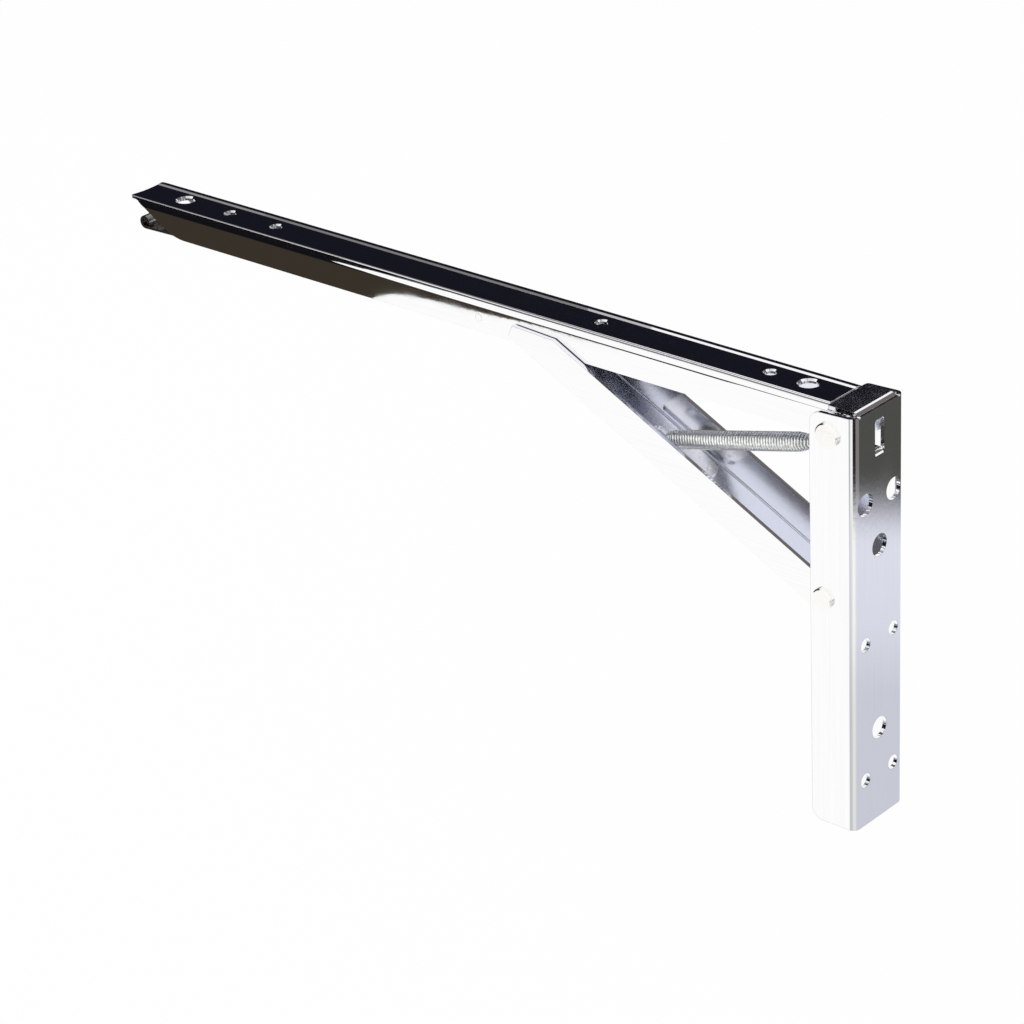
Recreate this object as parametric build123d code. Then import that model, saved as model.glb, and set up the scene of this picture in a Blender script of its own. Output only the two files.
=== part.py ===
"""Folding shelf bracket: wall leg, swinging shelf arm, folding brace and its tension spring.

Millimetres.  X points out from the wall, Y runs across the bracket, Z is up.
The wall face of the leg is the plane x = 0 and the middle of that face is the origin.
The bracket is drawn open: arm level, brace locked under it.
"""
import math
import os

from build123d import *

# ---------------------------------------------------------------- sheet and fits
sheet = 1.5                 # thickness of the folded sheet of all three channels
side_gap = 0.35             # gap between the sides of two nested channels
running_gap = 0.08          # radial clearance of a turning hole on its pin
resting_gap = 0.10          # gap left between two bodies that rest on each other
through = 4 * sheet         # length of a cut that goes right through a sheet

# ---------------------------------------------------------------- wall leg
leg_height = 158.0
leg_width = 28.5
leg_depth = 18.4            # out from the wall
leg_bend = 3.0              # outer radius of its two long bends
leg_shoulder = 0.8          # the side flanges end this far below the top tab
leg_top_corner = 4.6
leg_foot_corner = 4.2
tab_reach = 13.3            # the top tab covers the heel of the arm, out to here
tab_bend = 3.0
relief_radius = 0.6         # round corner reliefs beside the tab

# ---------------------------------------------------------------- shelf arm
arm_reach = 350.0           # wall face to the free end
arm_height = 11.8
arm_bend = 2.6
arm_heel_edge = 0.5         # rounded edge of the web, facing the tab
arm_end_slope = 30.9        # slope of the cut across the sides at the free end
arm_end_inset = 9.1         # the cut starts this far back at the foot of the bend
arm_end_spur = 5.0          # and runs out to the corner of the web half way round the bend
arm_end_hollow = 0.9        # depth of the hollow edge of the web
arm_end_corner = 22.0       # radius where the cut meets the lower edge

# ---------------------------------------------------------------- pivots
arm_pivot_x = 10.8
arm_pivot_drop = 8.9        # below the top face of the arm
arm_rivet_radius = 3.0
arm_rivet_head_radius = 4.6
rivet_head_height = 1.4
rivet_head_edge = 1.0
rivet_head_slope = 0.5      # the flat face of a head is this much smaller than its edge
brace_pivot_x = 13.0
pivot_spacing = 61.5        # from the arm pivot down to the brace pivot
brace_rivet_radius = 2.5
brace_rivet_head_radius = 4.0
brace_rivet_sink = 0.7      # depth of its flush inner head in the brace
spacer_radius = 4.7

# ---------------------------------------------------------------- brace
brace_angle = 26.6          # above level when locked
brace_web_drop = 9.0        # pivot to the outer face of the web
brace_edge_rise = 4.8       # pivot to the open edge of the flanges
brace_bend = 2.2
brace_heel = 4.8
brace_heel_corner = 4.5
brace_tip_past = 5.8        # the flanges run on past the end of the web
brace_tip_cut_long = 17.3
brace_tip_cut_deep = 7.6
seat_depth = 0.3            # the end of the web locks this deep into the edges of the arm

# ---------------------------------------------------------------- fixing holes
large_hole = 8.2
small_hole = 5.4
arm_large_hole = 6.8        # countersunk to the size of the wall holes
arm_small_hole = 4.2
wall_pair_spacing = 16.0
upper_pair_drop = 34.0      # below the top of the leg
middle_pair_height = -8.0
lower_pair_rise = 18.0      # above the foot of the leg
upper_centre_drop = 52.0
lower_centre_rise = 35.5
inner_large_x = 29.0
inner_small_x = (45.0, 119.0)
outer_large_inset = 22.0    # from the free end of the arm
outer_small_insets = (46.5, 71.0)

# ---------------------------------------------------------------- spring lug and slot
lug_slot_drop = 18.6        # top of the leg down to the lower end of the slot
lug_slot_length = 13.4
lug_slot_width = 5.2
lug_slot_corner = 0.9
lug_width = 4.6
lug_reach = 14.1            # wall face to the rounded end of the lug
lug_bend = 0.5              # inner radius
lug_hole_radius = 1.15      # for the upper hook of the spring

# ---------------------------------------------------------------- tension spring
spring_slope = 14.4         # below level, going out from the wall
spring_hook_x = 13.2        # centre of the upper hook, in the lug
spring_hook_rise = 0.95     # above the lower end of the slot
spring_radius = 3.5
spring_wire = 1.1
hook_wire = 1.0
hook_loop = 2.2             # centre line radius of both hooks
hook_lead = 3.56            # the shank bends off the axis this far from the hook centre
upper_hook_end = 290.0      # the loops are turned to here, in degrees round their centres
lower_hook_end = -95.0
bulb_length = 1.0           # thick inner end of each hook, held in the cone of the coil
coil_start = 13.6           # along the axis, from the centre of the upper hook
coil_tail_gap = 3.7         # end of the coil to the centre of the lower hook
upper_cone = 6.8            # the coil narrows to both ends over these lengths
lower_cone = 4.6
cone_small_radius = 1.35

# ---------------------------------------------------------------- anchor plate on the brace web
plate_thickness = 0.9
plate_half_width = 8.4
plate_start = 64.0          # along the brace from its pivot
plate_end = 98.0
plate_corner = 4.5
plate_upper_corner = 1.5
plate_window_half = 4.2
plate_window_corner = 2.0
web_hole_radius = 1.25      # in the brace web, for the lower hook of the spring
weld_radius = 0.9
weld_height = 0.25
weld_inset = 3.4

# ---------------------------------------------------------------- release lever
lever_sheet = 1.2
lever_pivot_x = 168.0
lever_pivot_drop = 6.5      # below the top face of the arm
lever_pin_radius = 1.5
lever_droop = 1.7           # the strip hangs this many degrees below level
lever_strip_width = 8.0
lever_cheek_gap = 0.5       # cheek to the inside of the arm
lever_cheek_radius = 3.3
lever_stop_gap = 0.40       # under the top plate, clear of its rounded corner
lever_finger_x = 144.6
lever_finger_length = 4.2
lever_finger_gap = 1.45     # free stroke before the finger meets the brace web
lever_strip_start = 171.0
lever_bridge_length = 8.6   # pin to the end of the full width
lever_taper_length = 9.9
lever_reach = 348.5         # centre of the rolled finger pull
lever_roll_radius = 2.65
lever_roll_start = -90.0    # the roll starts straight below its centre
lever_roll_opening = 75.0
return_wire = 0.5
return_coil_radius = 2.2
return_coil_half = 3.2
return_leg_length = 8.8
return_leg_start = 0.9      # the lower leg leaves the coil here
return_leg_clear = 0.35     # lets the lever rise under the leg of its spring

# ---------------------------------------------------------------- derived sizes
leg_top = leg_height / 2
leg_foot = -leg_height / 2
leg_half = leg_width / 2
leg_inner_half = leg_half - sheet
brace_half = leg_inner_half - side_gap
brace_inner_half = brace_half - sheet
arm_half = brace_inner_half - side_gap
arm_inner_half = arm_half - sheet
tab_half = arm_half
web_half = arm_half - arm_bend
arm_top = leg_top
arm_edge = arm_top - arm_height
arm_pivot_z = arm_top - arm_pivot_drop
lug_slot_bottom = leg_top - lug_slot_drop
spring_hook_z = lug_slot_bottom + spring_hook_rise
brace_pivot_z = arm_pivot_z - pivot_spacing
lever_pivot_z = arm_top - lever_pivot_drop
shoulder_z = leg_top - leg_shoulder
heel_clear = tab_reach + side_gap
heel_radius = arm_pivot_drop - sheet - side_gap
slope_sine = math.sin(math.radians(brace_angle))
slope_cosine = math.cos(math.radians(brace_angle))
web_inside = sheet - brace_web_drop
seat_rise = arm_edge + seat_depth - brace_pivot_z
brace_web_reach = (seat_rise - web_inside * slope_cosine) / slope_sine
brace_reach = brace_web_reach + brace_tip_past
wall_pair_heights = (leg_top - upper_pair_drop, middle_pair_height, leg_foot + lower_pair_rise)
wall_centre_heights = (leg_top - upper_centre_drop, leg_foot + lower_centre_rise)
arm_large_places = [inner_large_x, arm_reach - outer_large_inset]
arm_small_places = [*inner_small_x, *[arm_reach - inset for inset in outer_small_insets]]

ARM_PIVOT = (arm_pivot_x, arm_pivot_z)
BRACE_PIVOT = (brace_pivot_x, brace_pivot_z)
LEVER_PIVOT = (lever_pivot_x, lever_pivot_z)


def side(sketch, half):
    """A sketch drawn in the X-Z plane, made a solid as thick as 2 x half across Y."""
    return extrude(Plane.XZ * sketch, amount=half, both=True)


def side_at(sketch, low, high):
    """The same, from one Y to another."""
    middle = (low + high) / 2
    return Pos(0, middle, 0) * side(sketch, abs(high - low) / 2)


def polygon(*points):
    """A closed outline with straight sides."""
    return make_face(Polyline(*points, close=True))


def block(x_low, x_high, y_half, z_low, z_high):
    """A box given by its ends along X and Z and its half width."""
    centre = Pos((x_low + x_high) / 2, 0, (z_low + z_high) / 2)
    return centre * Box(x_high - x_low, 2 * y_half, z_high - z_low)


def channel_profile(half, height, bend):
    """Section of a channel: web along the top, two flanges down, rounded bends."""
    outer = Pos(0, -height / 2) * Rectangle(2 * half, height)
    outer = fillet(outer.vertices().group_by(Axis.Y)[-1], bend)
    inner = Pos(0, -sheet - height / 2) * Rectangle(2 * (half - sheet), height)
    inner = fillet(inner.vertices().group_by(Axis.Y)[-1], bend - sheet)
    return outer - inner


def cross_cylinder(place, radius, low, high):
    """A cylinder across Y at a place in the X-Z plane."""
    return side_at(Pos(*place) * Circle(radius), low, high)


def in_brace(shape):
    """Brace pieces are drawn along X from the pivot, then turned up to their slope."""
    return Pos(brace_pivot_x, 0, brace_pivot_z) * Rot(0, -brace_angle, 0) * shape


def in_spring(shape):
    """Spring pieces are drawn along X from the upper hook, then turned down to their slope."""
    return Pos(spring_hook_x, 0, spring_hook_z) * Rot(0, spring_slope, 0) * shape


def in_lever(shape):
    """Lever pieces are drawn along X from the pin, then turned down to their droop."""
    return Pos(lever_pivot_x, 0, lever_pivot_z) * Rot(0, lever_droop, 0) * shape


# ================================================================ wall leg
leg_section = Rot(0, 0, 90) * channel_profile(leg_half, leg_depth, leg_bend)
leg_blank = Pos(0, 0, leg_foot) * extrude(leg_section, amount=leg_height)
leg_outline = polygon(
    (0, leg_foot),
    (leg_depth, leg_foot),
    (leg_depth, shoulder_z - leg_shoulder),
    (0, shoulder_z),
)
front_corners = leg_outline.vertices().group_by(Axis.X)[-1].sort_by(Axis.Y)
leg_outline = fillet(front_corners[0], leg_foot_corner)
top_front = leg_outline.vertices().filter_by(lambda v: v.Y > 0).sort_by(Axis.X)[-1]
leg_outline = fillet(top_front, leg_top_corner)
wall_leg = leg_blank & side(leg_outline, leg_half)

tab_outline = polygon(
    (0, shoulder_z - tab_reach),
    (0, leg_top),
    (tab_reach, leg_top),
    (tab_reach, leg_top - sheet),
    (sheet, leg_top - sheet),
    (sheet, shoulder_z - tab_reach),
)
tab_outer = tab_outline.vertices().filter_by(lambda v: v.X < sheet / 2).sort_by(Axis.Y)[-1]
tab_outline = fillet(tab_outer, tab_bend)
tab_inner = [v for v in tab_outline.vertices() if abs(v.X - sheet) < 0.01 and v.Y > shoulder_z - sheet]
tab_outline = fillet(tab_inner, tab_bend - sheet)
wall_leg = wall_leg + side(tab_outline, tab_half)
for hand in (-1, 1):
    relief = Pos(0, hand * (tab_half + relief_radius), shoulder_z) * Rot(0, 90, 0)
    wall_leg = wall_leg - relief * Cylinder(relief_radius, through)

for height in wall_pair_heights:
    drill = large_hole if height == wall_pair_heights[0] else small_hole
    for hand in (-1, 1):
        place = Pos(sheet / 2, hand * wall_pair_spacing / 2, height) * Rot(0, 90, 0)
        wall_leg = wall_leg - place * Cylinder(drill / 2, through)
for height in wall_centre_heights:
    place = Pos(sheet / 2, 0, height) * Rot(0, 90, 0)
    wall_leg = wall_leg - place * Cylinder(large_hole / 2, through)

slot_middle = lug_slot_bottom + lug_slot_length / 2
slot = extrude(RectangleRounded(lug_slot_length, lug_slot_width, lug_slot_corner), amount=through, both=True)
wall_leg = wall_leg - Pos(sheet / 2, 0, slot_middle) * Rot(0, 90, 0) * slot
bend_centre = (sheet + lug_bend, lug_slot_bottom)
bend_ring = Pos(*bend_centre) * (Circle(sheet + lug_bend) - Circle(lug_bend))
bend_quarter = bend_ring & (Pos(sheet, lug_slot_bottom + sheet) * Rectangle(2 * sheet, 2 * sheet))
bend_quarter = bend_quarter & (Pos(0, lug_slot_bottom + sheet) * Rectangle(2 * bend_centre[0], 2 * sheet))
lug = side(bend_quarter, lug_width / 2)
lug_low = lug_slot_bottom + lug_bend
lug_high = lug_low + sheet
lug = lug + block(bend_centre[0], lug_reach - lug_width / 2, lug_width / 2, lug_low, lug_high)
lug = lug + Pos(lug_reach - lug_width / 2, 0, (lug_low + lug_high) / 2) * Cylinder(lug_width / 2, sheet)
lug_root = block(0, sheet, lug_width / 2, lug_slot_bottom - sheet, lug_slot_bottom)
hook_hole_x = spring_hook_x - hook_loop
lug = lug - Pos(hook_hole_x, 0, lug_high) * Cylinder(lug_hole_radius, through)
wall_leg = wall_leg + lug_root + lug

arm_rivet_hole = cross_cylinder(ARM_PIVOT, arm_rivet_radius, -leg_width, leg_width)
brace_rivet_hole = cross_cylinder(BRACE_PIVOT, brace_rivet_radius, -leg_width, leg_width)
wall_leg = wall_leg - arm_rivet_hole - brace_rivet_hole

# ================================================================ shelf arm
heel_drop = arm_pivot_drop + heel_radius
arm_section = Plane.YZ * channel_profile(arm_half, heel_drop, arm_bend)
arm_blank = Pos(0, 0, arm_top) * extrude(arm_section, amount=arm_reach)
bend_foot = arm_top - arm_bend
cut_foot = arm_reach - arm_end_inset
cut_low = cut_foot - (bend_foot - arm_edge) / math.tan(math.radians(arm_end_slope))
spur_z = bend_foot + arm_bend * math.cos(math.radians(45))
arm_bar = polygon(
    (heel_clear, arm_edge),
    (heel_clear, arm_top),
    (arm_reach, arm_top),
    (arm_reach - arm_end_spur, spur_z),
    (cut_foot, bend_foot),
    (cut_low, arm_edge),
)
low_corner = arm_bar.vertices().filter_by(lambda v: v.Y < arm_edge + sheet).sort_by(Axis.X)[-1]
arm_bar = fillet(low_corner, arm_end_corner)
heel_corner = arm_bar.vertices().filter_by(lambda v: v.Y > arm_top - sheet).sort_by(Axis.X)[0]
arm_bar = fillet(heel_corner, arm_heel_edge)
web_end = block(arm_reach - arm_end_inset, arm_reach, web_half, bend_foot, arm_top)
heel_neck = polygon(
    (arm_pivot_x, arm_edge),
    (arm_pivot_x, arm_pivot_z + heel_radius),
    (heel_clear, arm_pivot_z + heel_radius),
    (heel_clear + sheet, arm_edge),
)
heel_disc = Pos(*ARM_PIVOT) * Circle(heel_radius)
shelf_arm = arm_blank & (side(arm_bar + heel_neck + heel_disc, arm_half) + web_end)
hollow_radius = (web_half ** 2 + arm_end_hollow ** 2) / (2 * arm_end_hollow)
hollow_x = arm_reach + hollow_radius - arm_end_hollow
shelf_arm = shelf_arm - Pos(hollow_x, 0, arm_top) * Cylinder(hollow_radius, through)

# seat in both lower edges that the end of the brace web locks into
seat_top = web_inside + resting_gap
seat_bottom = seat_top - 2 * arm_height
seat_end = brace_web_reach + resting_gap
seat_start = seat_end - arm_height
seat = polygon(
    (seat_start, seat_top),
    (seat_end, seat_top),
    (seat_end, seat_bottom),
    (seat_start, seat_bottom),
)
shelf_arm = shelf_arm - in_brace(side(seat, arm_half + sheet))

arm_holes = [(place_x, arm_large_hole, large_hole) for place_x in arm_large_places]
arm_holes += [(place_x, arm_small_hole, small_hole) for place_x in arm_small_places]
for place_x, drill, rim in arm_holes:
    cone_depth = (rim - drill) / 2
    shelf_arm = shelf_arm - Pos(place_x, 0, arm_top) * Cylinder(drill / 2, through)
    countersink = Pos(place_x, 0, arm_top - cone_depth / 2) * Cone(drill / 2, rim / 2, cone_depth)
    shelf_arm = shelf_arm - countersink

arm_turning_hole = arm_rivet_radius + running_gap
shelf_arm = shelf_arm - cross_cylinder(ARM_PIVOT, arm_turning_hole, -arm_half, arm_half)
shelf_arm = shelf_arm - cross_cylinder(LEVER_PIVOT, lever_pin_radius, -arm_half, arm_half)

# ================================================================ brace
brace_height = brace_web_drop + brace_edge_rise
brace_section = Plane.YZ * (Rot(0, 0, 180) * channel_profile(brace_half, brace_height, brace_bend))
brace_length = brace_reach + brace_heel
brace_blank = Pos(-brace_heel, 0, -brace_web_drop) * extrude(brace_section, amount=brace_length)
brace_outline = polygon(
    (-brace_heel, -brace_web_drop),
    (brace_reach, -brace_web_drop),
    (brace_reach, brace_edge_rise - brace_tip_cut_deep),
    (brace_reach - brace_tip_cut_long, brace_edge_rise),
    (-brace_heel, brace_edge_rise),
)
heel_corners = brace_outline.vertices().group_by(Axis.X)[0]
brace_outline = fillet(heel_corners, brace_heel_corner)
brace = brace_blank & side(brace_outline, brace_half)
tip_clear = (brace_web_reach, brace_reach + sheet, brace_inner_half, -brace_web_drop - sheet, brace_edge_rise)
brace = brace - block(*tip_clear)
brace_turning_hole = brace_rivet_radius + running_gap
brace = brace - cross_cylinder((0, 0), brace_turning_hole, -brace_half, brace_half)
sunk_radius = brace_rivet_radius + brace_rivet_sink
for hand in (-1, 1):
    sunk = Pos(0, hand * (brace_inner_half + brace_rivet_sink / 2), 0) * Rot(-90 * hand, 0, 0)
    sunk = sunk * Cone(sunk_radius + running_gap, brace_turning_hole, brace_rivet_sink)
    brace = brace - sunk

# where the axis of the spring crosses the middle of the brace web
axis_angle = brace_angle + spring_slope
reach_x = spring_hook_x - brace_pivot_x
reach_z = spring_hook_z - brace_pivot_z
hook_rise = -reach_x * slope_sine + reach_z * slope_cosine
hook_along = reach_x * slope_cosine + reach_z * slope_sine
web_middle = sheet / 2 - brace_web_drop
spring_length = (hook_rise - web_middle) / math.sin(math.radians(axis_angle))
anchor_along = hook_along + spring_length * math.cos(math.radians(axis_angle))
hook_hole_along = anchor_along + hook_loop
brace = brace - Pos(hook_hole_along, 0, web_middle) * Cylinder(web_hole_radius, through)
brace = in_brace(brace)

# ================================================================ anchor plate on the web
plate_low = web_inside
plate_middle = (plate_start + plate_end) / 2
plate_face = Pos(plate_middle, 0) * Rectangle(plate_end - plate_start, 2 * plate_half_width)
plate_face = fillet(plate_face.vertices().group_by(Axis.X)[0], plate_corner)
plate_face = fillet(plate_face.vertices().group_by(Axis.X)[-1], plate_upper_corner)
window_low = anchor_along - lower_cone - coil_tail_gap / 2
window_high = hook_hole_along + hook_loop
window_middle = (window_low + window_high) / 2
window_length = window_high - window_low
window = Pos(window_middle, 0) * RectangleRounded(window_length, 2 * plate_window_half, plate_window_corner)
anchor_plate = Pos(0, 0, plate_low) * extrude(plate_face - window, amount=plate_thickness)
weld_base = plate_low + plate_thickness
for hand in (-1, 1):
    weld = Pos(plate_start + weld_inset, hand * (plate_half_width - weld_inset), weld_base + weld_height / 2)
    anchor_plate = anchor_plate + weld * Cylinder(weld_radius, weld_height)
spring_anchor_plate = in_brace(anchor_plate)

# ================================================================ pivot rivets and spacers
def rivet_head(place, head_radius, hand):
    """A flat head with a bevelled rim on the outside of one side of the leg."""
    bevel_height = rivet_head_height - rivet_head_edge
    rim = Pos(0, 0, rivet_head_edge / 2) * Cylinder(head_radius, rivet_head_edge)
    bevel = Cone(head_radius, head_radius - rivet_head_slope, bevel_height)
    head = rim + Pos(0, 0, rivet_head_edge + bevel_height / 2) * bevel
    return Pos(place[0], hand * leg_half, place[1]) * Rot(-90 * hand, 0, 0) * head


arm_pivot_rivet = cross_cylinder(ARM_PIVOT, arm_rivet_radius, -leg_half, leg_half)
for hand in (-1, 1):
    arm_pivot_rivet = arm_pivot_rivet + rivet_head(ARM_PIVOT, arm_rivet_head_radius, hand)


def short_rivet(hand):
    """Rivet through one side of leg and brace, flush inside so that the arm can fold past it."""
    low = hand * brace_inner_half
    high = hand * leg_half
    shank = cross_cylinder(BRACE_PIVOT, brace_rivet_radius, min(low, high), max(low, high))
    place = Pos(brace_pivot_x, hand * (brace_inner_half + brace_rivet_sink / 2), brace_pivot_z)
    inner_head = place * Rot(-90 * hand, 0, 0) * Cone(sunk_radius, brace_rivet_radius, brace_rivet_sink)
    return shank + inner_head + rivet_head(BRACE_PIVOT, brace_rivet_head_radius, hand)


brace_rivet_near = short_rivet(1)
brace_rivet_far = short_rivet(-1)


def spacer(hand):
    """Round washer that fills the space between the arm and the leg at the arm pivot."""
    low = hand * (arm_half + resting_gap)
    high = hand * leg_inner_half
    ring = cross_cylinder(ARM_PIVOT, spacer_radius, min(low, high), max(low, high))
    return ring - cross_cylinder(ARM_PIVOT, arm_rivet_radius, -leg_half, leg_half)


arm_spacer_near = spacer(1)
arm_spacer_far = spacer(-1)

# ================================================================ tension spring
coil_end = spring_length - coil_tail_gap
core_radius = spring_radius - spring_wire
coil_section = polygon(
    (coil_start, cone_small_radius),
    (coil_start + upper_cone, spring_radius),
    (coil_end - lower_cone, spring_radius),
    (coil_end, cone_small_radius),
    (coil_end, hook_wire / 2 + running_gap),
    (coil_end - lower_cone, core_radius),
    (coil_start + upper_cone, core_radius),
    (coil_start, hook_wire / 2 + running_gap),
)
spring_coil = in_spring(revolve(Plane.XZ * coil_section, axis=Axis.X))


def hook(shank_end, loop_end):
    """A swivel hook: a shank on the spring axis, a bent neck and an open loop centred on the axis."""
    shank_side = 1 if shank_end > 0 else -1
    neck_radius = (hook_lead ** 2 - hook_loop ** 2) / (2 * hook_loop)
    neck_turn = 90 - math.degrees(math.atan2(neck_radius, hook_lead))
    neck_centre = (shank_side * hook_lead, neck_radius)
    neck_meets = 90 - shank_side * neck_turn
    lead = Line((shank_end, 0), (shank_side * hook_lead, 0))
    neck = CenterArc(neck_centre, neck_radius, -90, -shank_side * neck_turn)
    loop = CenterArc((0, 0), hook_loop, neck_meets, loop_end - neck_meets)
    path = Plane.XZ * Wire([lead, neck, loop])
    start_plane = Plane(origin=path @ 0, z_dir=path % 0)
    return sweep(start_plane * Circle(hook_wire / 2), path=path)


bulb = Rot(0, 90, 0) * Cylinder(cone_small_radius - 2 * running_gap, bulb_length)
upper_shank = coil_start + upper_cone / 2
upper_hook = hook(upper_shank, upper_hook_end)
spring_hook_wall = in_spring(upper_hook + Pos(upper_shank, 0, 0) * bulb)
lower_shank = -coil_tail_gap - lower_cone / 2
lower_hook = hook(lower_shank, lower_hook_end)
spring_hook_brace = in_spring(Pos(spring_length, 0, 0) * (lower_hook + Pos(lower_shank, 0, 0) * bulb))

# ================================================================ release lever
cheek_outer = arm_inner_half - lever_cheek_gap
cheek_inner = cheek_outer - lever_sheet
lever_cosine = math.cos(math.radians(lever_droop))


def web_face_z(x):
    """Height of the inner face of the brace web below the arm."""
    return brace_pivot_z + ((x - brace_pivot_x) * slope_sine + plate_low) / slope_cosine


finger_tip_x = lever_finger_x + lever_finger_length
ceiling = arm_top - sheet - lever_stop_gap
cheek_side = polygon(
    (lever_finger_x, web_face_z(lever_finger_x) + lever_finger_gap),
    (finger_tip_x, web_face_z(finger_tip_x) + lever_finger_gap),
    (lever_pivot_x, lever_pivot_z - lever_cheek_radius),
    (lever_pivot_x, lever_pivot_z + lever_cheek_radius),
    (finger_tip_x, ceiling),
    (lever_finger_x, ceiling),
)
cheek_end = Pos(*LEVER_PIVOT) * Circle(lever_cheek_radius)
cheek_outline = cheek_side + cheek_end
strip_low = -lever_cheek_radius
strip_high = strip_low + lever_sheet
bridge_start = lever_strip_start - lever_pivot_x
bridge_end = lever_bridge_length
release_lever = in_lever(block(bridge_start, bridge_end, cheek_outer, strip_low, strip_high))
cheek_tail = polygon(
    (0, strip_low),
    (bridge_end, strip_low),
    (bridge_end, strip_high + lever_sheet),
    (0, lever_cheek_radius),
)
for hand in (-1, 1):
    cheek = side_at(cheek_outline, hand * cheek_inner, hand * cheek_outer)
    tail = in_lever(side_at(cheek_tail, hand * cheek_inner, hand * cheek_outer))
    release_lever = release_lever + cheek + tail
taper_end = bridge_end + lever_taper_length
strip_end = (lever_reach - lever_pivot_x) / lever_cosine
taper_face = polygon(
    (bridge_end, cheek_outer),
    (taper_end, lever_strip_width / 2),
    (taper_end, -lever_strip_width / 2),
    (bridge_end, -cheek_outer),
)
release_lever = release_lever + in_lever(Pos(0, 0, strip_low) * extrude(taper_face, amount=lever_sheet))
strip = block(taper_end, strip_end, lever_strip_width / 2, strip_low, strip_high)
release_lever = release_lever + in_lever(strip)
roll_middle = lever_roll_radius - lever_sheet / 2
roll_centre = (strip_end, strip_low + lever_sheet / 2 + roll_middle)
roll_ring = Circle(lever_roll_radius) - Circle(lever_roll_radius - lever_sheet)
gap_reach = 2 * lever_roll_radius
gap_corners = [(0, 0)]
for share in (1, 1 / 2, 0):
    angle = math.radians(lever_roll_start - share * lever_roll_opening)
    gap_corners.append((gap_reach * math.cos(angle), gap_reach * math.sin(angle)))
roll_face = Pos(*roll_centre) * (roll_ring - polygon(*gap_corners))
roll = side(roll_face, lever_strip_width / 2)
release_lever = release_lever + in_lever(roll)
lever_turning_hole = lever_pin_radius + running_gap
release_lever = release_lever - cross_cylinder(LEVER_PIVOT, lever_turning_hole, -arm_half, arm_half)

lever_pivot_pin = cross_cylinder(LEVER_PIVOT, lever_pin_radius, -arm_half, arm_half)

# small torsion spring that holds the lever down
return_spring = side(Circle(return_coil_radius) - Circle(return_coil_radius - return_wire), return_coil_half)
lower_leg_z = return_leg_clear - return_coil_radius
lower_leg = block(return_leg_start, return_leg_length, return_wire / 2, lower_leg_z, lower_leg_z + return_wire)
lower_leg = Pos(0, return_coil_half - return_wire / 2, 0) * lower_leg
upper_leg_z = return_coil_radius
upper_leg = block(0, return_leg_length, return_wire / 2, upper_leg_z - return_wire, upper_leg_z)
upper_leg = Pos(0, return_wire / 2 - return_coil_half, 0) * upper_leg
leg_rise = lever_pivot_drop - sheet - upper_leg_z
riser_start = return_leg_length - return_wire
riser_foot = upper_leg_z - return_wire
riser = block(riser_start, return_leg_length, return_wire / 2, riser_foot, upper_leg_z + leg_rise)
riser = Pos(0, return_wire / 2 - return_coil_half, 0) * riser
lever_return_spring = Pos(lever_pivot_x, 0, lever_pivot_z) * (return_spring + lower_leg + upper_leg + riser)

# ================================================================ files
PIECES = {
    "wall_leg": wall_leg,
    "shelf_arm": shelf_arm,
    "brace": brace,
    "arm_pivot_rivet": arm_pivot_rivet,
    "brace_rivet_near": brace_rivet_near,
    "brace_rivet_far": brace_rivet_far,
    "arm_spacer_near": arm_spacer_near,
    "arm_spacer_far": arm_spacer_far,
    "spring_coil": spring_coil,
    "spring_hook_wall": spring_hook_wall,
    "spring_hook_brace": spring_hook_brace,
    "spring_anchor_plate": spring_anchor_plate,
    "release_lever": release_lever,
    "lever_pivot_pin": lever_pivot_pin,
    "lever_return_spring": lever_return_spring,
}

os.makedirs("parts", exist_ok=True)
for name, shape in PIECES.items():
    export_step(shape, f"parts/{name}.step")
    print(name, "solids", len(shape.solids()), "volume", round(shape.volume, 1))
print("spring length", round(spring_length, 3), "anchor along", round(anchor_along, 3))
print("coil", round(coil_start, 2), round(coil_end, 2))
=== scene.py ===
# %% [markdown]
# # Folding shelf bracket, dressed for its portrait
#
# The bracket is three folded-steel channels that nest into each other: a leg for the wall, an arm
# for the shelf and a brace between them.  All three are polished and plated until they are mirrors,
# so this scene is mostly about two things: a finish that is not quite perfect, and a studio whose
# pale and dark cards give the mirrors something to show.
#
# The measured model comes in first.  Its pieces stay where they are, because they are already the
# right shape and size; what follows only gives them finishes and winds the real springs.

# %% Load the measured model
import math

import bpy
from mathutils import Matrix, Vector


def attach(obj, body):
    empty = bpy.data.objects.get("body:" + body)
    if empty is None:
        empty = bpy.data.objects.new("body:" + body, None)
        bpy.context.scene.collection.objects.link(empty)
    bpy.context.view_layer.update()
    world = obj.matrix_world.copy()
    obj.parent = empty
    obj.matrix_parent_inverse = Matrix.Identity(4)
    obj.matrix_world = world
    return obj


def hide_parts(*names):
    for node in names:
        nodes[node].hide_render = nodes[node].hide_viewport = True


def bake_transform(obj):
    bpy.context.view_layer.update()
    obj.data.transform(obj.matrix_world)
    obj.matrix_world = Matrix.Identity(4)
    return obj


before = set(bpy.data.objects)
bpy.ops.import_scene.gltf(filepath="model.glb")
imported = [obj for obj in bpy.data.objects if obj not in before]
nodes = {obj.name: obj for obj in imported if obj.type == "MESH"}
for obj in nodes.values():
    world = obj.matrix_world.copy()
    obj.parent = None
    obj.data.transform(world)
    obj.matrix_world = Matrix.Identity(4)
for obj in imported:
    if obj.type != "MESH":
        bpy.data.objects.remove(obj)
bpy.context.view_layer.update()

MM = 0.001
print("pieces loaded:", ", ".join(sorted(nodes)))


# %% [markdown]
# ## Small helpers for node trees
#
# A material in Blender is a graph of nodes.  Building it by hand in the editor is fine for one
# surface; here seven finishes share the same ideas, so a few short helpers keep the graphs
# readable: one adds a node, one wires two sockets, one calculates, one stretches a range and one
# mixes two colours.

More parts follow.
